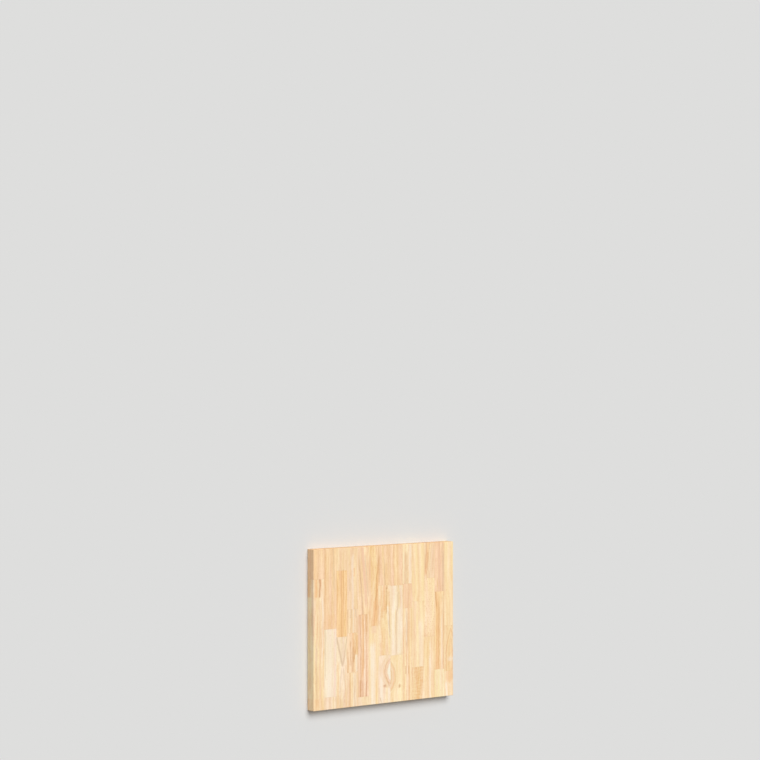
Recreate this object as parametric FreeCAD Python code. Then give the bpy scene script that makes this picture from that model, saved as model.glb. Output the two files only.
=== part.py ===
import FreeCAD, Part
import os

# Butcher block countertop: an edge-glued panel of solid hardwood.
#
# Parallel staves lie side by side. Each stave is a row of sawn blocks that are glued end to end,
# and each block is a solid of its own. Blocks meet face to face at the glue joints.
#
# Millimetres. The panel lies flat on its underside. The origin is the middle of the underside,
# +X runs across the staves, +Y along the grain, and +Z up to the work surface.

# ---------------------------------------------------------------- driving dimensions

PANEL_LENGTH = 575.0  # along the grain
PANEL_THICKNESS = 38.0
EASED_EDGE = 1.5  # radius that sanding leaves along the panel's outer edges

# In each stave, one block is cut to fill the length that the others leave.
REST = None

# The staves from -X to +X: the sawn width, then the block lengths from the +Y end to the -Y end.
STAVES = [
    (47.0, [107.0, REST]),
    (53.0, [REST, 243.0, 44.0]),
    (47.0, [81.0, 238.0, REST]),
    (49.0, [REST, 85.0, 143.0, 124.0]),
    (49.0, [245.0, REST, 32.0]),
    (42.0, [REST, 285.0]),
    (55.0, [145.0, REST, 175.0]),
    (56.0, [149.0, REST, 171.0]),
    (44.0, [145.0, 90.0, REST]),
    (55.0, [213.0, REST, 120.0]),
    (50.0, [130.0, 217.0, REST]),
    (45.0, [183.0, REST, 103.0]),
    (43.0, [REST, 170.0, 93.0]),
]

# ---------------------------------------------------------------- derived

PANEL_WIDTH = sum(width for width, lengths in STAVES)


def filled_lengths(lengths):
    """The block lengths of one stave, with the REST block worked out."""
    stated = sum(length for length in lengths if length is not REST)
    return [PANEL_LENGTH - stated if length is REST else length for length in lengths]


def panel_outline():
    """The finished panel as one solid with all its outer edges eased."""
    corner = FreeCAD.Vector(-PANEL_WIDTH / 2, -PANEL_LENGTH / 2, 0)
    slab = Part.makeBox(PANEL_WIDTH, PANEL_LENGTH, PANEL_THICKNESS, corner)
    return slab.makeFillet(EASED_EDGE, slab.Edges)


def block(outline, left, far, width, length):
    """One sawn block, from its -X side and its +Y end, sanded with the panel."""
    corner = FreeCAD.Vector(left, far - length, 0)
    blank = Part.makeBox(width, length, PANEL_THICKNESS, corner)
    return blank.common(outline).Solids[0]


def stave_blocks(outline, left, width, lengths):
    """The blocks of one stave, in order from the +Y end."""
    far = PANEL_LENGTH / 2
    blocks = []
    for length in filled_lengths(lengths):
        blocks.append(block(outline, left, far, width, length))
        far -= length
    return blocks


# ---------------------------------------------------------------- build

os.makedirs("parts", exist_ok=True)
outline = panel_outline()
left = -PANEL_WIDTH / 2
for stave, (width, lengths) in enumerate(STAVES, start=1):
    for place, solid in enumerate(stave_blocks(outline, left, width, lengths), start=1):
        solid.exportStep(f"parts/stave_{stave:02d}_block_{place}.step")
    left += width
print(f"panel {PANEL_WIDTH:.0f} x {PANEL_LENGTH:.0f} x {PANEL_THICKNESS:.0f} mm")
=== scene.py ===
# %% [markdown]
# # A butcher block countertop
# The real thing is a solid birch panel. Narrow staves are glued edge to edge, and each stave is a
# row of sawn blocks glued end to end. The whole panel is then planed, sanded flat and eased along
# its edges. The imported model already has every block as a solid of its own, at its true size, so
# this file gives each block its own piece of wood, and then sets up a floor, light and a camera.

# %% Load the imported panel
import math
import random
from functools import partial

import bpy
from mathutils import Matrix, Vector


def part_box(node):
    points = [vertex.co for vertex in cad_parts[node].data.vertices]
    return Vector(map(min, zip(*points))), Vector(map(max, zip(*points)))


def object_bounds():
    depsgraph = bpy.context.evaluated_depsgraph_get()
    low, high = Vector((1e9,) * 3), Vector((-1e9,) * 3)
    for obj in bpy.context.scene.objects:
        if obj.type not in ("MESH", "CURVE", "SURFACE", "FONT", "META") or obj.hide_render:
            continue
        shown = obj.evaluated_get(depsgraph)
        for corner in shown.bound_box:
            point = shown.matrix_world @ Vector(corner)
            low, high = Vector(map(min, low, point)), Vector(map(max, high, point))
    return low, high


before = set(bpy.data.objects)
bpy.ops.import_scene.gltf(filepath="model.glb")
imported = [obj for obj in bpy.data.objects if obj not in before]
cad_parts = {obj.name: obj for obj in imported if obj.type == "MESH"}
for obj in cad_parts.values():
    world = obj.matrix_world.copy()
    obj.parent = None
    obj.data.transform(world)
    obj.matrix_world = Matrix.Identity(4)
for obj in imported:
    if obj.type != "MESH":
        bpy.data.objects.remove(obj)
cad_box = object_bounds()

blocks = sorted(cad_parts)
print(len(blocks), "blocks, panel corners", [tuple(round(c, 4) for c in p) for p in cad_box])

# %% [markdown]
# ## Helpers for colours and nodes
# Paint charts and drawing programs give colours as sRGB hex, but a shader adds up light, which is
# linear. One function turns one into the other, so that each colour is written the way people
# read it. A second small function adds any shader node with its settings and its links, which
# keeps each recipe below as short as the idea behind it. Inside a recipe, put is that same
# function with the recipe's own tree filled in. A noise takes a place, W, a scale and a detail,
# in that order.

# %% Helpers
NOISE_MIDDLE = 0.5  # a noise runs from 0 to 1


def linear(hex_colour):
    """The linear RGBA of an sRGB hex colour such as #F6D2A7."""
    channels = [int(hex_colour[i:i + 2], 16) / 255 for i in (1, 3, 5)]
    return (*(c / 12.92 if c < 0.04045 else ((c + 0.055) / 1.055) ** 2.4 for c in channels), 1)


def add(tree, kind, *values, inputs=None, out=0, **settings):
    """Adds a node: values fill its inputs in order, and inputs by name or number.

    A value is a number, a vector, or another node's output to link. Returns the output that out
    names. A Mix node's sockets share their names, so they go by number: 6 and 7 are its two
    colours and output 2 is the mixed colour.
    """
    node = tree.nodes.new("ShaderNode" + kind)
    for name, value in settings.items():
        setattr(node, name, value)
    for key, value in (*enumerate(values), *(inputs or {}).items()):
        if isinstance(value, bpy.types.NodeSocket):
            tree.links.new(value, node.inputs[key])
        else:
            node.inputs[key].default_value = value
    return node.outputs[out] if len(node.outputs) else None


def group(name, inputs, outputs):
    """An empty shader group with these sockets. Returns its tree, its inputs and its results."""
    tree = bpy.data.node_groups.new(name, "ShaderNodeTree")
    for direction, sockets in (("INPUT", inputs), ("OUTPUT", outputs)):
        for socket, kind in sockets.items():
            tree.interface.new_socket(socket, in_out=direction, socket_type="NodeSocket" + kind)
    return tree, tree.nodes.new("NodeGroupInput").outputs, tree.nodes.new("NodeGroupOutput").inputs


print("birch straw in linear light:", [round(c, 3) for c in linear("#FCDEB2")])

# %% [markdown]
# ## How birch grows
# A tree adds a ring each year round its pith. Sawing a block out of the log shows those rings as
# arcs on the end, as stripes on a side that was cut towards the pith, and as arches on a side
# that was cut across it. If the pattern is worked out in three dimensions, as the distance from
# the pith line, then face, edges and ends agree by themselves, which a flat picture never does.
# The pith line leans a little, as trees do, and wanders, which bends the stripes. Over the rings
# lie finer patterns that follow the same bends, each a noise stretched along the grain.

# %% The growth group: rings round a leaning pith, all sizes in millimetres
SEED_STEP = (17.3, 5.1, 11.7)  # shifts the noises from one block to the next
WANDER = (0.011, 0.004, 0.011)  # the pith line bends over about 250 mm, and a little over less
RAYS_PER_RADIAN = 60  # rays are finer in real birch: drawn 1.5 mm apart so that they show
BAND_SPREAD = (0.3, 0.7, -0.5, 0.5)  # the noise from dark to light, and what that turns into
LATE_SHARPNESS = 5  # the last weeks of a year grow a thin dark line
RAGGED = 0.35  # how far the fibres break up that line, as a share of a ring
END_FACE = (0.5, 0.85)  # how squarely a face has to cut the grain to show its ends
ROSY, STRAWY = "#FFFBFF", "#FFFFF2"  # what the hue drift takes away at its two ends
HUE_SPREAD = (-0.15, 0.15)  # the noise at those two ends
# How many times each pattern repeats in a millimetre across, along and up, and its detail.
GRAIN = {
    "fibre": ((1.1, 0.03, 1.1), 2.0),  # one fibre bundle is about 1 mm wide and 30 mm long
    "stripe": ((0.15, 0.007, 0.15), 3.0),  # fibres that grew together, about 7 mm wide
    "flame": ((0.42, 0.035, 0.42), 2.0),  # short lighter and darker licks, 2 by 30 mm
    "cloud": ((0.03, 0.008, 0.03), 1.0),  # the tone drifts over 30 mm across
    "curl": ((0.05, 0.17, 0.05), 1.0),  # curly grain: bands across the fibres, 6 mm apart
    "blush": ((0.07, 0.004, 0.07), 2.0),  # the hue drifts from rose to straw over 14 mm
}
# How strongly each pattern darkens the wood. Rays show on the ends only, and late lines more there.
STRENGTH = {"band": 0.7, "late": 0.25, "late on ends": 0.6, "ray": 0.8, "fibre": 1.0, "flame": 1.5,
            "stripe": 1.7, "cloud": 0.8}
START_TONE = 0.38  # under the middle, because late lines only darken


def growth_group():
    """The wood's colour, how far a face shows the ends of the fibres, and the fibres."""
    tree, given, made = group(
        "birch growth",
        {"Place": "Vector", "Normal": "Vector", "Light": "Color", "Dark": "Color",
         "Pith": "Vector", "Lean": "Vector", "Wander": "Float", "Ring": "Float",
         "Band": "Float", "Curl": "Float", "Bulge": "Float", "Seed": "Float"},
        {"Colour": "Color", "End": "Float", "Fibre": "Float"})
    put = partial(add, tree)
    seed = put("VectorMath", SEED_STEP, inputs={"Scale": given["Seed"]}, operation="SCALE")

    # Slow noise bends everything that follows.
    slow = put("VectorMath", given["Place"], WANDER, seed, operation="MULTIPLY_ADD")
    drift = put("TexNoise", slow, 0, 1, 3, out="Color")
    drift = put("VectorMath", drift, [NOISE_MIDDLE] * 3, operation="SUBTRACT")
    drift = put("VectorMath", drift, inputs={"Scale": given["Wander"]}, operation="SCALE")
    bent = put("VectorMath", given["Place"], drift, operation="ADD")
    grain = {}
    for name, (stretch, detail) in GRAIN.items():
        at = put("VectorMath", bent, stretch, seed, operation="MULTIPLY_ADD")
        noise = put("TexNoise", at, 0, 1, detail)
        grain[name] = put("Math", noise, NOISE_MIDDLE, operation="SUBTRACT")

    # How far each point is from the leaning pith line.
    down = put("SeparateXYZ", bent, out="Y")
    pith = put("VectorMath", given["Lean"], inputs={"Scale": down}, operation="SCALE")
    pith = put("VectorMath", pith, given["Pith"], operation="ADD")
    off = put("VectorMath", bent, pith, operation="SUBTRACT")
    off = put("VectorMath", off, (1, 0, 1), operation="MULTIPLY")
    length = put("VectorMath", off, operation="LENGTH", out="Value")
    age = put("Math", length, given["Bulge"], operation="ADD")

    # Broad bands of several years, and the thin dark line that ends each year.
    band_at = put("Math", age, given["Band"], operation="DIVIDE")
    band_at = put("Math", given["Seed"], SEED_STEP[1], band_at, operation="MULTIPLY_ADD")
    band = put("TexNoise", inputs={"W": band_at, "Scale": 1, "Detail": 2}, noise_dimensions="1D")
    bands = put("MapRange", band, *BAND_SPREAD, interpolation_type="SMOOTHSTEP")
    year = put("Math", age, given["Ring"], operation="DIVIDE")
    year = put("Math", grain["fibre"], RAGGED, year, operation="MULTIPLY_ADD")
    year = put("Math", year, band, operation="ADD")
    late = put("Math", put("Math", year, operation="FRACT"), LATE_SHARPNESS, operation="POWER")

    # On the ends the rings show more, and fine rays run out from the pith.
    across = put("Math", put("SeparateXYZ", given["Normal"], out="Y"), operation="ABSOLUTE")
    end = put("MapRange", across, *END_FACE, interpolation_type="SMOOTHSTEP")
    x, _, z = put("SeparateXYZ", off).node.outputs
    angle = put("Math", put("Math", x, z, operation="ARCTAN2"), RAYS_PER_RADIAN, operation="MULTIPLY")
    ray = put("TexNoise", inputs={"W": angle, "Scale": 1, "Detail": 1}, noise_dimensions="1D")
    ray = put("Math", ray, NOISE_MIDDLE, operation="SUBTRACT")
    ray = put("Math", ray, end, operation="MULTIPLY")

    late_strength = put("Math", end, STRENGTH["late on ends"], STRENGTH["late"],
                        operation="MULTIPLY_ADD")
    tone = START_TONE
    for pattern, strength in (
            (bands, STRENGTH["band"]), (late, late_strength), (ray, STRENGTH["ray"]),
            *((grain[name], STRENGTH[name]) for name in ("fibre", "flame", "stripe", "cloud")),
            (grain["curl"], given["Curl"])):
        tone = put("Math", pattern, strength, tone, operation="MULTIPLY_ADD")
    colour = put("Mix", tone, inputs={6: given["Light"], 7: given["Dark"]}, out=2,
                 data_type="RGBA", clamp_factor=False)
    share = put("MapRange", grain["blush"], *HUE_SPREAD)
    hue = put("Mix", share, inputs={6: linear(ROSY), 7: linear(STRAWY)}, out=2, data_type="RGBA")
    colour = put("Mix", 1, inputs={6: colour, 7: hue}, out=2, data_type="RGBA",
                 blend_type="MULTIPLY")
    for socket, value in (("Colour", colour), ("End", end), ("Fibre", grain["fibre"])):
        tree.links.new(value, made[socket])
    return tree


GROWTH = growth_group()
print("growth group:", len(GROWTH.nodes), "nodes")

# %% [markdown]
# ## Streaks, knots and eyes
# A board is chosen and remembered by its odd marks: a white or rusty streak where the tree was
# hurt, a small knot where a twig grew, an eye where the rings swell round one. They are local, so
# each is a mask on top of the growth. A streak follows the fibres, has soft sides, fades at its
# tips and slants through the thickness. An eye or a knot is a set of nested rings, coloured from
# its centre out: round ones for a knot, and ones with two tips for an eye, because the fibres part
# before it and close behind it.

# %% The streak group
STREAK_SLANT = 0.25  # how far a streak moves across for each millimetre of thickness
STREAK_WAVER = 6.0  # mm
STREAK_BENDS = 0.02  # how many times it wavers in a millimetre
STREAK_SKIRT = 1.0  # mm of soft edge added to each streak
STREAK_SIDES = (1.25, 0.25)  # where it starts and where it is full, in half widths
STREAK_TIP = 0.12  # the share of its length over which each tip fades
STREAK_GRAIN = 0.8  # its fibres are a little broader than those of plain wood
STREAK_FIBRES = (0.3, 0.6, 0.35, 1.0)  # the noise between two fibres and on one, and the cover there


def streak_group():
    """How much a streak between two points covers each place."""
    tree, given, made = group(
        "birch streak",
        {"Place": "Vector", "From": "Vector", "To": "Vector", "Half width": "Float"},
        {"Mask": "Float"})
    put = partial(add, tree)
    x, y, z = put("SeparateXYZ", given["Place"]).node.outputs
    x0, y0, top = put("SeparateXYZ", given["From"]).node.outputs
    x1, y1, _ = put("SeparateXYZ", given["To"]).node.outputs
    along = put("Math", y, y0, operation="SUBTRACT")
    along = put("Math", along, put("Math", y1, y0, operation="SUBTRACT"), operation="DIVIDE")
    centre = put("Math", x1, x0, operation="SUBTRACT")
    centre = put("Math", centre, along, x0, operation="MULTIPLY_ADD")
    at = put("Math", y, STREAK_BENDS, x0, operation="MULTIPLY_ADD")
    waver = put("TexNoise", inputs={"W": at, "Scale": 1, "Detail": 2}, noise_dimensions="1D")
    waver = put("Math", waver, NOISE_MIDDLE, operation="SUBTRACT")
    centre = put("Math", waver, STREAK_WAVER, centre, operation="MULTIPLY_ADD")
    depth = put("Math", z, top, operation="SUBTRACT")
    centre = put("Math", depth, STREAK_SLANT, centre, operation="MULTIPLY_ADD")

    aside = put("Math", put("Math", x, centre, operation="SUBTRACT"), operation="ABSOLUTE")
    width = put("Math", given["Half width"], STREAK_SKIRT, operation="ADD")
    aside = put("Math", aside, width, operation="DIVIDE")
    side = put("MapRange", aside, *STREAK_SIDES, interpolation_type="SMOOTHSTEP")
    start = put("MapRange", along, 0, STREAK_TIP, interpolation_type="SMOOTHSTEP")
    stop = put("MapRange", along, 1, 1 - STREAK_TIP, interpolation_type="SMOOTHSTEP")
    at = put("VectorMath", given["Place"], GRAIN["fibre"][0], operation="MULTIPLY")
    fibre = put("TexNoise", at, 0, STREAK_GRAIN, 2)
    mask = put("MapRange", fibre, *STREAK_FIBRES)
    for share in (side, start, stop):
        mask = put("Math", mask, share, operation="MULTIPLY")
    tree.links.new(mask, made["Mask"])
    return tree


STREAK = streak_group()
print("streak group:", len(STREAK.nodes), "nodes")

# %% The oval group
OVAL_WAVER = Vector((7, 14, 7))  # mm
OVAL_BENDS = 0.06  # how many times its outline wavers in a millimetre


def oval_group():
    """How far each place is from the centre of an oval: 1 on its outline."""
    tree, given, made = group(
        "birch oval",
        {"Place": "Vector", "Centre": "Vector", "Half sizes": "Vector", "Pointed": "Float"},
        {"Distance": "Float"})
    put = partial(add, tree)
    soft = put("TexNoise", given["Place"], 0, OVAL_BENDS, 3, out="Color")
    bent = put("VectorMath", soft, OVAL_WAVER, given["Place"], operation="MULTIPLY_ADD")
    bent = put("VectorMath", bent, OVAL_WAVER * NOISE_MIDDLE, operation="SUBTRACT")
    off = put("VectorMath", bent, given["Centre"], operation="SUBTRACT")
    off = put("VectorMath", off, given["Half sizes"], operation="DIVIDE")
    rounded = put("VectorMath", off, operation="LENGTH", out="Value")
    x, y, z = put("SeparateXYZ", off).node.outputs
    pointed = put("Math", x, operation="ABSOLUTE")
    pointed = put("Math", y, y, pointed, operation="MULTIPLY_ADD")
    pointed = put("Math", z, z, pointed, operation="MULTIPLY_ADD")
    distance = put("Mix", given["Pointed"], inputs={2: rounded, 3: pointed})  # of two numbers
    tree.links.new(distance, made["Distance"])
    return tree


OVAL = oval_group()
print("oval group:", len(OVAL.nodes), "nodes")

# %% [markdown]
# ## The sanded surface and the glue joints
# Bare sanded birch is a dull satin. Its vessels are open and show as short fine dashes along the
# grain, and as dots on the ends, where the wood also drinks in light and looks darker. A glue
# joint is a hair-thin brown line. It is drawn where a block ends, inside the panel only.

# %% The surface group
VESSELS = (1.5, 0.12, 1.5)  # real vessels are 0.1 mm wide: drawn 0.6 mm wide so that they show
VESSEL_EDGE = (0.6, 0.72)  # how rare they are: the noise where a vessel starts and is full
GLUE_FADE = (0.42, 0.12)  # mm from the joint where the glue line starts and is full
GLUE_COLOUR, VESSEL_COLOUR, END_COLOUR = "#B98A58", "#D9AE7E", "#F6EBDA"
GLUE_STRENGTH = 0.32
ROUGHNESS = {"plain": 0.57, "vessel": 0.08, "end": 0.12, "fibre": 0.06}
RELIEF = {"fibre": 0.03, "vessel": -0.04, "glue": -0.05}  # mm


def surface_group():
    """Vessels, darker ends and glue lines over the wood's colour, with roughness and relief."""
    tree, given, made = group(
        "birch surface",
        {"Colour": "Color", "Place": "Vector", "End": "Float", "Fibre": "Float",
         "Joint low": "Vector", "Joint high": "Vector", "Vessels": "Float"},
        {"Colour": "Color", "Roughness": "Float", "Height": "Float"})
    put = partial(add, tree)
    at = put("VectorMath", given["Place"], VESSELS, operation="MULTIPLY")
    vessels = put("TexNoise", at, 0, 1, 1)
    vessels = put("MapRange", vessels, *VESSEL_EDGE, interpolation_type="SMOOTHSTEP")
    low = put("VectorMath", given["Place"], given["Joint low"], operation="SUBTRACT")
    high = put("VectorMath", given["Joint high"], given["Place"], operation="SUBTRACT")
    nearest = put("VectorMath", low, high, operation="MINIMUM")
    x, y, _ = put("SeparateXYZ", nearest).node.outputs
    joint = put("Math", x, y, operation="MINIMUM")
    glue = put("MapRange", joint, *GLUE_FADE, interpolation_type="SMOOTHSTEP")

    colour = given["Colour"]
    for tint, share, strength, blend in (
            (VESSEL_COLOUR, vessels, given["Vessels"], "MULTIPLY"),
            (END_COLOUR, given["End"], 1.0, "MULTIPLY"), (GLUE_COLOUR, glue, GLUE_STRENGTH, "MIX")):
        amount = put("Math", share, strength, operation="MULTIPLY")
        colour = put("Mix", amount, inputs={6: colour, 7: linear(tint)}, out=2,
                     data_type="RGBA", blend_type=blend)
    patterns = {"vessel": vessels, "end": given["End"], "fibre": given["Fibre"], "glue": glue}
    rough = ROUGHNESS["plain"]
    for name in ("vessel", "end", "fibre"):
        rough = put("Math", patterns[name], ROUGHNESS[name], rough, operation="MULTIPLY_ADD")
    height = 0.0
    for name, depth in RELIEF.items():
        height = put("Math", patterns[name], depth, height, operation="MULTIPLY_ADD")
    for socket, value in (("Colour", colour), ("Roughness", rough), ("Height", height)):
        tree.links.new(value, made[socket])
    return tree


SURFACE = surface_group()
print("surface group:", len(SURFACE.nodes), "nodes")

# %% [markdown]
# ## The tones of birch, and which block has which
# Sapwood is cream or straw, heartwood is tan, rose or amber, and a mill mixes them all in one
# panel. Each block is listed with its tone, how strong its figure is, how it was sawn from the
# log, how far its grain leans across the block, and how wide its bands are in millimetres.

# %% Tones, ways of sawing, and the blocks
TONES = {
    "cream": "#FAE5CA", "ivory": "#FBE3C1", "straw": "#FCDEB2", "peach": "#FBDAB0",
    "blush": "#F7DCB9", "fawn": "#F6D6AE", "tan": "#F6D2A8", "rose": "#F6D0A8",
    "honey": "#F9D3A4", "amber": "#F7CE9C", "shell": "#FADFC4", "butter": "#FDE6BC",
    "white streak": "#FFF1DC", "orange streak": "#F2BD84", "rust streak": "#C98252",
    "brown streak": "#D59E68", "grey streak": "#DDBF9C", "pink streak": "#F3C9AC",
    "eye white": "#FBF3DC", "eye brown": "#DDA67C", "knot": "#A9713F",
}

# Where the pith lies, in mm from the middle of the block's underside: across, and up.
SAWN = {"quarter": (-95, 12), "rift": (-60, -55), "flat": (4, -80), "heart up": (-6, 130)}

BLOCKS = {
    "stave_01": [("tan", 0.9, "quarter", 0.00, 12), ("peach", 1.2, "quarter", 0.00, 9)],
    "stave_02": [("tan", 1.0, "rift", 0.03, 14), ("cream", 0.7, "rift", 0.01, 12),
                 ("blush", 1.0, "quarter", 0.00, 10)],
    "stave_03": [("fawn", 0.9, "quarter", 0.00, 9), ("amber", 1.1, "quarter", 0.00, 8),
                 ("blush", 1.2, "flat", 0.00, 10)],
    "stave_04": [("fawn", 0.9, "rift", 0.01, 10), ("fawn", 1.0, "quarter", 0.00, 9),
                 ("tan", 1.5, "rift", 0.05, 9), ("fawn", 0.9, "quarter", 0.00, 8)],
    "stave_05": [("tan", 1.3, "rift", 0.08, 12), ("rose", 1.6, "quarter", 0.01, 8),
                 ("blush", 0.9, "flat", 0.00, 10)],
    "stave_06": [("honey", 1.3, "rift", -0.09, 11), ("straw", 0.8, "rift", 0.00, 12)],
    "stave_07": [("tan", 1.1, "quarter", 0.02, 8), ("peach", 1.2, "flat", 0.02, 9),
                 ("blush", 1.0, "flat", 0.00, 9)],
    "stave_08": [("tan", 1.1, "quarter", 0.00, 7), ("ivory", 0.9, "rift", 0.00, 10),
                 ("straw", 1.0, "flat", 0.00, 11)],
    "stave_09": [("straw", 1.0, "quarter", 0.00, 9), ("tan", 0.9, "quarter", 0.00, 8),
                 ("peach", 1.1, "quarter", 0.00, 8)],
    "stave_10": [("straw", 0.7, "rift", 0.01, 13), ("straw", 0.8, "rift", 0.00, 12),
                 ("peach", 1.2, "flat", 0.00, 9)],
    "stave_11": [("fawn", 1.0, "rift", -0.18, 12), ("peach", 0.9, "flat", 0.00, 10),
                 ("peach", 1.0, "quarter", 0.01, 10)],
    "stave_12": [("rose", 1.2, "quarter", 0.01, 7), ("honey", 1.3, "quarter", 0.00, 9),
                 ("butter", 0.7, "rift", 0.00, 12)],
    "stave_13": [("straw", 0.8, "rift", 0.01, 12), ("straw", 1.0, "flat", 0.00, 9),
                 ("peach", 0.9, "rift", 0.02, 12)],
}
tones_used = {row[0] for rows in BLOCKS.values() for row in rows}
print(sum(map(len, BLOCKS.values())), "blocks in", len(tones_used), "tones")

# %% [markdown]
# The marks are placed on their own block, in millimetres across from its left side and down from
# its far end, so that they stay with the block. A streak that starts or stops beyond the block is
# cut off by the joint, as a saw cuts one. Each line is a tone, two points, half the width and how
# strong it is.

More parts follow.
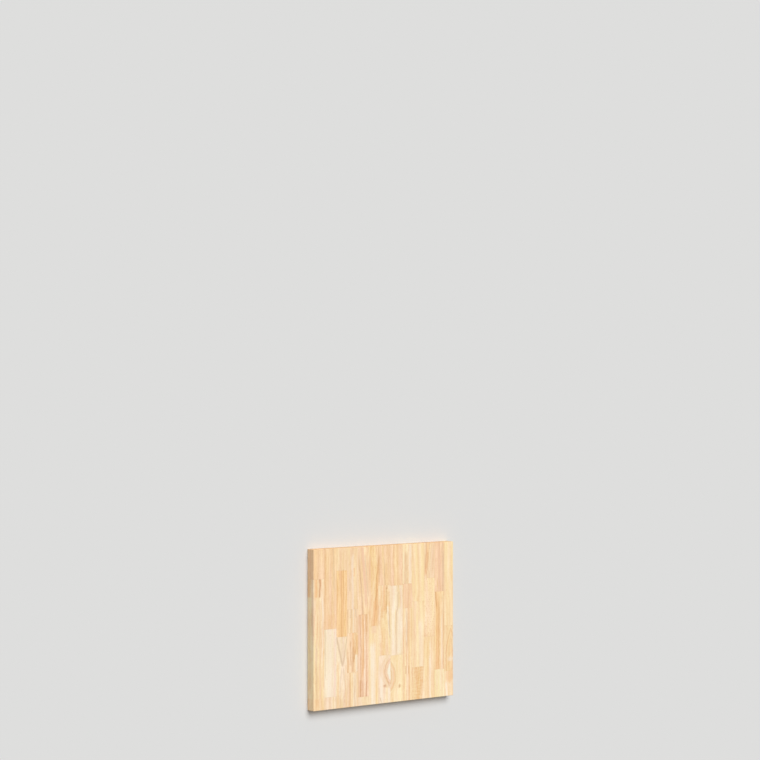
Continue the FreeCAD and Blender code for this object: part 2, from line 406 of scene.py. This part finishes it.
# %% The marks of each block
STREAKS = {
    "stave_01_block_1": [("orange streak", (8, -30), (8, 140), 9, 0.35)],
    "stave_01_block_2": [
        ("orange streak", (11, -20), (11, 70), 8, 0.9), ("rust streak", (27, -12), (27, 70), 3.6, 1.0),
        ("pink streak", (27, 60), (28, 500), 4, 0.55), ("grey streak", (13, 220), (13, 500), 4, 0.4),
        ("white streak", (40, 60), (38, 300), 4, 0.5), ("orange streak", (12, 420), (14, 520), 14, 0.5)],
    "stave_02_block_1": [("grey streak", (38, -30), (44, 160), 3, 0.5),
                         ("orange streak", (30, 230), (28, 330), 26, 0.3)],
    "stave_02_block_2": [("white streak", (20, -50), (22, 300), 15, 0.5),
                         ("white streak", (17, 150), (16, 270), 12, 0.45),
                         ("pink streak", (44, -30), (46, 280), 3.5, 0.5),
                         ("grey streak", (4, -30), (5, 190), 2.5, 0.55)],
    "stave_03_block_2": [("orange streak", (25, -40), (25, 290), 7, 0.55),
                         ("brown streak", (21, -30), (22, 280), 1.6, 0.5),
                         ("brown streak", (31, -30), (30, 280), 1.4, 0.45)],
    "stave_03_block_3": [
        ("grey streak", (-3, -15), (28, 112), 4.0, 0.95), ("grey streak", (50, -15), (27, 112), 3.0, 0.7),
        ("grey streak", (24, -20), (26, 104), 9, 0.4), ("grey streak", (30, 110), (42, 200), 1.8, 0.6),
        ("orange streak", (6, 80), (8, 300), 4, 0.55), ("orange streak", (40, 90), (42, 280), 3, 0.4),
        ("grey streak", (22, 110), (14, 210), 1.8, 0.6)],
    "stave_04_block_1": [("white streak", (24, 10), (26, 260), 5, 0.6),
                         ("orange streak", (31, 72), (31, 108), 3, 0.7),
                         ("grey streak", (12, 110), (13, 160), 4, 0.5)],
    "stave_04_block_2": [("white streak", (28, -20), (28, 110), 2.6, 0.7),
                         ("grey streak", (17, -10), (17, 34), 2.5, 0.8),
                         ("grey streak", (38, -10), (38, 34), 3, 0.7)],
    "stave_04_block_3": [
        ("orange streak", (26, -20), (30, 80), 6, 0.8), ("brown streak", (27, 45), (24, 150), 5, 0.55),
        ("brown streak", (15, 25), (17, 125), 2, 0.65),
        ("brown streak", (30, 20), (30, 110), 2, 0.7), ("orange streak", (47, 5), (36, 85), 3, 0.7),
        ("brown streak", (40, 30), (33, 100), 1.5, 0.7), ("white streak", (41, 76), (44, 146), 6, 0.7)],
    "stave_04_block_4": [("white streak", (29, -10), (30, 160), 2.2, 0.8),
                         ("grey streak", (34, 0), (35, 160), 2, 0.6),
                         ("white streak", (39, -10), (39, 160), 2, 0.6)],
    "stave_05_block_1": [
        ("grey streak", (4, 20), (26, 300), 3, 0.6), ("rust streak", (5, 60), (24, 280), 1.0, 0.45),
        ("pink streak", (18, -10), (38, 230), 6, 0.8), ("grey streak", (29, 20), (46, 190), 1.8, 0.7)],
    "stave_05_block_2": [
        ("rust streak", (11, -30), (12, 340), 1.8, 0.4), ("orange streak", (22, -30), (21, 250), 4, 0.7),
        ("white streak", (29, 60), (32, 290), 1.6, 0.5), ("rust streak", (35, -20), (38, 330), 1.4, 0.35),
        ("pink streak", (6, -20), (5, 330), 3.5, 0.5), ("rust streak", (14, 232), (16, 340), 13, 0.34),
        ("rust streak", (38, 238), (36, 340), 3, 0.6)],
    "stave_06_block_1": [
        ("brown streak", (43, 20), (21, 320), 1.8, 1.0), ("orange streak", (48, 40), (27, 300), 6, 0.85),
        ("straw", (22, 120), (14, 270), 5, 0.9), ("orange streak", (26, 190), (19, 312), 7, 0.7),
        ("pink streak", (4, 20), (6, 240), 4, 0.5),
        ("brown streak", (38, 150), (30, 240), 2, 0.7)],
    "stave_06_block_2": [("white streak", (16, 50), (18, 320), 13, 0.85),
                         ("orange streak", (34, 190), (35, 330), 3, 0.5),
                         ("pink streak", (20, -30), (22, 30), 14, 0.6)],
    "stave_07_block_1": [("brown streak", (4, 30), (3, 140), 2, 0.6),
                         ("grey streak", (26, 40), (30, 150), 2.4, 0.5)],
    "stave_07_block_2": [
        ("orange streak", (28, -20), (26, 100), 6, 0.8), ("brown streak", (39, -12), (36, 110), 1.8, 0.8),
        ("orange streak", (13, -10), (12, 80), 4, 0.5), ("white streak", (41, 70), (51, 190), 3.4, 0.8),
        ("grey streak", (47, 90), (53, 200), 2, 0.8), ("orange streak", (22, 150), (18, 290), 13, 0.3),
        ("grey streak", (48, 130), (52, 175), 3, 0.7)],
    "stave_07_block_3": [
        ("white streak", (14, 60), (16, 190), 7, 0.9), ("brown streak", (42, 96), (50, 116), 2.6, 1.0),
        ("white streak", (47, 116), (50, 190), 3, 0.7), ("grey streak", (6, 150), (22, 190), 2.2, 0.8)],
    "stave_08_block_2": [
        ("grey streak", (36, 20), (32, 100), 2.2, 0.8), ("grey streak", (28, 80), (25, 262), 2.0, 0.75),
        ("white streak", (41, 75), (39, 262), 9, 0.65), ("white streak", (17, 60), (13, 240), 3, 0.6),
        ("white streak", (20, -30), (24, 95), 9, 0.35)],
    "stave_09_block_1": [("brown streak", (15.5, 20), (15.5, 210), 8.5, 0.5),
                         ("white streak", (34, -20), (35, 170), 5, 0.6),
                         ("white streak", (5, 20), (5, 170), 3, 0.3)],
    "stave_09_block_2": [("pink streak", (24, -10), (22, 100), 5, 0.3)],
    "stave_09_block_3": [
        ("orange streak", (31, -30), (31, 370), 4.2, 0.35), ("grey streak", (20, 5), (21, 150), 2.4, 0.7),
        ("white streak", (16, -10), (17, 130), 2.0, 0.6), ("brown streak", (14, 210), (14, 244), 3, 0.5),
        ("brown streak", (29, 210), (29, 244), 2.5, 0.5)],
    "stave_10_block_2": [("white streak", (38, 60), (40, 280), 12, 0.4),
                         ("pink streak", (12, -10), (12, 140), 7, 0.25)],
    "stave_10_block_3": [("orange streak", (26, -10), (28, 150), 12, 0.15)],
    "stave_11_block_1": [
        ("orange streak", (26, -40), (6, 128), 6.5, 0.75), ("brown streak", (18, 30), (9, 100), 4, 0.45),
        ("rust streak", (13, -15), (5, 118), 1.2, 0.45),
        ("rust streak", (31, -20), (11, 125), 1.2, 0.5), ("shell", (38, 10), (30, 140), 6, 0.4)],
    "stave_11_block_3": [("white streak", (27, 60), (29, 260), 5, 0.5),
                         ("white streak", (28, 15), (28, 50), 3, 0.4)],
    "stave_12_block_1": [
        ("rust streak", (26, -20), (27, 200), 1.2, 0.4), ("pink streak", (20, -10), (22, 200), 6, 0.8),
        ("grey streak", (36, -10), (37, 200), 1.5, 0.7), ("grey streak", (42, 20), (43, 200), 1.8, 0.8)],
    "stave_12_block_2": [
        ("orange streak", (12, -20), (17, 330), 9, 0.65), ("brown streak", (20, 20), (21, 310), 1.8, 0.6),
        ("brown streak", (3, -10), (10, 60), 2, 0.8), ("grey streak", (40, -10), (39, 300), 2, 0.6),
        ("white streak", (33, 80), (33, 320), 2.5, 0.5)],
    "stave_13_block_3": [("white streak", (8, 36), (15, 120), 4, 0.9),
                         ("white streak", (30, 30), (27, 120), 3, 0.4)],
}
print(sum(map(len, STREAKS.values())), "streaks on", len(STREAKS), "blocks")

# %% [markdown]
# One eye spans two neighbouring blocks, half on each, because they were ripped from one plank.
# Small knots sit near it, and one block at the side shows the tall arches of a flat-sawn board.
# Each is listed with its centre, its half sizes, how pointed it is, and its colours from the
# centre out: how far out each lies, where 1 is the outline, its tone, and how much it covers.

# %% Eyes, arches and knots
KNOT = [(0.0, "knot", 0.7), (0.4, "rust streak", 0.55), (0.8, "brown streak", 0.35), (1.5, "tan", 0.0)]
OVALS = {
    "stave_07_block_2": [((39, 11), (3.5, 7), 0.3, KNOT)],
    "stave_07_block_3": [
        ((56, 60), (40, 58), 0.85, [
            (0.0, "eye white", 1.0), (0.32, "eye white", 1.0), (0.46, "pink streak", 0.6),
            (0.58, "pink streak", 0.5), (0.66, "eye brown", 0.7), (0.76, "tan", 0.6),
            (1.0, "shell", 0.7), (1.12, "fawn", 0.7), (1.35, "blush", 0.0)]),
        ((30, 112), (8.5, 5), 0.0, KNOT)],
    "stave_08_block_3": [
        ((-2, 76), (30, 60), 0.85, [
            (0.0, "cream", 0.9), (0.16, "cream", 0.8), (0.26, "eye brown", 0.5), (0.40, "blush", 0.8),
            (0.60, "pink streak", 0.7), (0.74, "orange streak", 0.7), (0.84, "brown streak", 0.35),
            (1.0, "butter", 0.8), (1.35, "butter", 0.0)]),
        ((42, 113), (6, 8.5), 0.3, KNOT)],
    "stave_13_block_2": [
        ((31, 128), (27, 128), 1.0, [
            (0.0, "amber", 0.4), (0.30, "orange streak", 0.6), (0.45, "brown streak", 0.45),
            (0.52, "amber", 0.5), (0.75, "orange streak", 0.6), (0.86, "brown streak", 0.6),
            (0.95, "straw", 0.7), (1.2, "straw", 0.0)]),
        ((31, 124), (15, 9), 0.4, [(0.0, "cream", 1.0), (0.5, "cream", 0.7), (1.6, "straw", 0.0)])],
    "stave_13_block_3": [
        ((26, 18), (24, 34), 0.5, [
            (0.0, "amber", 0.6), (0.5, "orange streak", 0.5), (0.75, "amber", 0.4),
            (0.95, "ivory", 0.7), (1.25, "straw", 0.0)])],
}
print(sum(map(len, OVALS.values())), "ovals on", len(OVALS), "blocks")

# %% [markdown]
# ## One wood for each block
# Every block gets its own material, built the same way: growth, then its marks, then the sanded
# surface. The figure's light and dark shades lie either side of the tone, so that the block's
# average stays as it was chosen. The principled shader's own sockets hold what is the same all
# over: an index of refraction of 1.5, as for most wood.

# %% What the blocks share
PER_METRE = 1000  # millimetres
RING_WIDTH = 2.3  # birch grows 1 to 4 mm a year
PITH_WANDER = 26.0  # mm
SHADE = (0.14, 0.25, 0.40)  # from light to dark in red, green and blue, as shares of the tone
PITH_CHANCE, LEAN_CHANCE, RING_CHANCE = 8, 0.03, (0.8, 1.3)  # mm, mm for each mm, and a share
OVAL_DEPTH = 60  # mm that an eye or a knot reaches into the wood
OVAL_SWELL, OVAL_REACH = 0.6, 1.5  # the bulge of the rings round it, and how far that reaches
OVAL_COVER, OVAL_FIBRES = 0.86, 1.0  # how far its colours cover, and how fibrous they are
OUTERMOST = 1  # mm: a block that ends this close to the panel's side is at the side
JOINT_FREE = 10  # mm past the panel's side, so that no glue line is drawn there
CURLY = {"stave_10_block_3": 1.2, "stave_01_block_1": 0.5, "stave_07_block_2": 0.6}
FLECKED = {"stave_11_block_2": 1.0}
PLAIN_CURL, PLAIN_FLECKS = 0.3, 0.4
OVAL_SPAN = 2  # its colours may run out to twice its half sizes
REFRACTION = 1.5


def shades(tone, figure):
    """The light and the dark shade on either side of a tone."""
    base = linear(TONES[tone])
    light = [min(c * (1 + s * figure / 2), 1) for c, s in zip(base, SHADE)]
    dark = [c * (1 - s * figure / 2) for c, s in zip(base, SHADE)]
    return (*light, 1), (*dark, 1)


print("straw from", *[[round(c, 2) for c in shade] for shade in shades("straw", 1)])

# %% Build the materials


def wood(node_name, row, seed):
    """The material of one block."""
    tone, figure, sawn, lean, band = row
    low, high = (corner * PER_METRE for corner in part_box(node_name))
    size = high - low
    chance = random.Random(seed)
    material = bpy.data.materials.new(f"sanded birch {node_name}")
    material.use_nodes = True
    material.node_tree.nodes.clear()
    put = partial(add, material.node_tree)

    # Millimetres across from the block's left side, down from its far end, and up.
    coordinates = put("TexCoord", out="Object")
    place = put("Mapping", coordinates, inputs={
        "Scale": (PER_METRE, -PER_METRE, PER_METRE), "Location": (-low.x, high.y, 0)})

    bulge = 0.0
    rings = []
    for centre, half, pointed, stops in OVALS.get(node_name, []):
        distance = put("Group", place, (*centre, size.z), (*half, OVAL_DEPTH), pointed, node_tree=OVAL)
        swell = put("MapRange", distance, 0, OVAL_REACH, half[0] * OVAL_SWELL, 0,
                    interpolation_type="SMOOTHSTEP")
        bulge = put("Math", swell, bulge, operation="ADD")
        rings.append((distance, stops))

    across, up = SAWN[sawn]
    side = chance.choice((-1, 1))
    pith_x = size.x / 2 + side * across + chance.uniform(-PITH_CHANCE, PITH_CHANCE)
    pith_z = up + chance.uniform(-PITH_CHANCE, PITH_CHANCE)
    light, dark = shades(tone, figure)
    colour = put("Group", node_tree=GROWTH, inputs={
        "Place": place, "Normal": coordinates.node.outputs["Normal"], "Light": light, "Dark": dark,
        "Pith": (pith_x, 0, pith_z), "Lean": (lean, 0, chance.uniform(-LEAN_CHANCE, LEAN_CHANCE)),
        "Wander": PITH_WANDER, "Ring": RING_WIDTH * chance.uniform(*RING_CHANCE), "Band": band,
        "Curl": CURLY.get(node_name, PLAIN_CURL), "Bulge": bulge, "Seed": float(seed)})
    grown = colour.node.outputs

    for mark, start, stop, half_width, strength in STREAKS.get(node_name, []):
        mask = put("Group", place, (*start, size.z), (*stop, size.z), half_width, node_tree=STREAK)
        amount = put("Math", mask, strength, operation="MULTIPLY")
        colour = put("Mix", amount, inputs={6: colour, 7: linear(TONES[mark])}, out=2,
                     data_type="RGBA")
    for distance, stops in rings:
        ramp = put("ValToRGB", put("Math", distance, 1 / OVAL_SPAN, operation="MULTIPLY")).node
        while len(ramp.color_ramp.elements) < len(stops):
            ramp.color_ramp.elements.new(0.5)  # each gets its own position next
        for element, (at, mark, cover) in zip(ramp.color_ramp.elements, stops):
            element.position = at / OVAL_SPAN
            element.color = (*linear(TONES[mark])[:3], cover)
        amount = put("Math", grown["Fibre"], OVAL_FIBRES, OVAL_COVER, operation="MULTIPLY_ADD")
        amount = put("Math", amount, ramp.outputs["Alpha"], operation="MULTIPLY")
        colour = put("Mix", amount, inputs={6: colour, 7: ramp.outputs["Color"]}, out=2,
                     data_type="RGBA")

    first, last = (Vector(corner) * PER_METRE for corner in cad_box)
    outer_low = Vector((low.x <= first.x + OUTERMOST, high.y >= last.y - OUTERMOST, 0))
    outer_high = Vector((high.x >= last.x - OUTERMOST, low.y <= first.y + OUTERMOST, 0))
    surface = put("Group", node_tree=SURFACE, inputs={
        "Colour": colour, "Place": place, "End": grown["End"], "Fibre": grown["Fibre"],
        "Joint low": -JOINT_FREE * outer_low, "Joint high": size + JOINT_FREE * outer_high,
        "Vessels": FLECKED.get(node_name, PLAIN_FLECKS)}).node.outputs
    bump = put("Bump", inputs={"Height": surface["Height"], "Distance": 1 / PER_METRE, "Strength": 1})
    shader = put("BsdfPrincipled", inputs={
        "Base Color": surface["Colour"], "Roughness": surface["Roughness"], "Normal": bump,
        "IOR": REFRACTION})
    put("OutputMaterial", shader)
    return material


seed = 0
for stave, rows in BLOCKS.items():
    for place_in_stave, row in enumerate(rows, start=1):
        seed += 1
        node_name = f"{stave}_block_{place_in_stave}"
        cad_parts[node_name].material_slots[0].material = wood(node_name, row, seed)
print(seed, "of", len(blocks), "blocks have their wood")

# %% [markdown]
# ## Floor and background
# A studio floor is one seamless pale sweep. Here it is a very large flat plane, and the world
# shows the same grey to the camera, so that floor and background meet without a line.

# %% Floor and world
STUDIO_GREY = "#DEDEDD"
FLOOR_HALF = 60.0  # metres
FLOOR_GAP = 0.0001  # metres below the panel, so that the two surfaces aren't one

quarters = ((-1, -1), (1, -1), (1, 1), (-1, 1))
corners = [(x * FLOOR_HALF, y * FLOOR_HALF, -FLOOR_GAP) for x, y in quarters]
floor_mesh = bpy.data.meshes.new("studio_floor")
floor_mesh.from_pydata(corners, [], [(0, 1, 2, 3)])
floor = bpy.data.objects.new("studio_floor", floor_mesh)
bpy.context.scene.collection.objects.link(floor)

paper = bpy.data.materials.new("matt studio paper")
paper.use_nodes = True
paper.node_tree.nodes.clear()
matt = add(paper.node_tree, "BsdfDiffuse", linear(STUDIO_GREY))
add(paper.node_tree, "OutputMaterial", matt)
floor_mesh.materials.append(paper)

SKY_STRENGTH = 0.30
world = bpy.data.worlds.new("studio")
bpy.context.scene.world = world
world.use_nodes = True
sky = world.node_tree
sky.nodes.clear()
light_path = add(sky, "LightPath").node.outputs
seen = light_path["Is Camera Ray"]
for ray in ("Is Glossy Ray", "Is Transmission Ray"):
    seen = add(sky, "Math", seen, light_path[ray], operation="MAXIMUM")
lit = add(sky, "Background", (1, 1, 1, 1), SKY_STRENGTH)
shown = add(sky, "Background", linear(STUDIO_GREY), 1.0)
both = add(sky, "MixShader", seen, lit, shown)
add(sky, "OutputWorld", both)
print("floor", 2 * FLOOR_HALF, "m wide, sky strength", SKY_STRENGTH)

# %% [markdown]
# ## Light
# The world gives a little light from all round. A large soft lamp above the far end of the panel
# gives the rest, and leaves the near end and the long edges in gentle shade, with a soft shadow
# along the near end. A sun with a wide angle does this evenly over the whole floor. Sky and sun
# add up to 1 on a level surface, so a colour renders about as bright as it is written.

# %% The soft key light
KEY_TOWARDS = Vector((-0.05, 0.62, 1.0)).normalized()
KEY_ANGLE = math.radians(40)

key_data = bpy.data.lights.new("key", "SUN")
key_data.energy = math.pi * (1 - SKY_STRENGTH) / KEY_TOWARDS.z
key_data.angle = KEY_ANGLE
key = bpy.data.objects.new("key", key_data)
key.rotation_euler = KEY_TOWARDS.to_track_quat("Z", "Y").to_euler()
bpy.context.scene.collection.objects.link(key)
print("key light", round(key_data.energy, 3), "W per square metre")

# %% [markdown]
# ## Camera
# A long lens from several metres away keeps the panel's edges nearly parallel, as in a catalogue
# picture. The camera looks down on the panel, turned off its normal about the grain, so that one
# long edge shows. Its own up direction runs along the grain.

# %% The camera
LENS = 98  # mm
TURN = math.radians(36.6)
CAMERA_PLACE = (-4.514, 0.891, 6.085)  # metres

camera_data = bpy.data.cameras.new("camera")
camera_data.lens = LENS
camera = bpy.data.objects.new("camera", camera_data)
camera.location = CAMERA_PLACE
camera.rotation_euler = (0, -TURN, 0)
bpy.context.scene.collection.objects.link(camera)
bpy.context.scene.camera = camera
bpy.context.scene.view_settings.view_transform = "Standard"
print("camera", round(Vector(CAMERA_PLACE).length, 2), "m from the panel's middle")
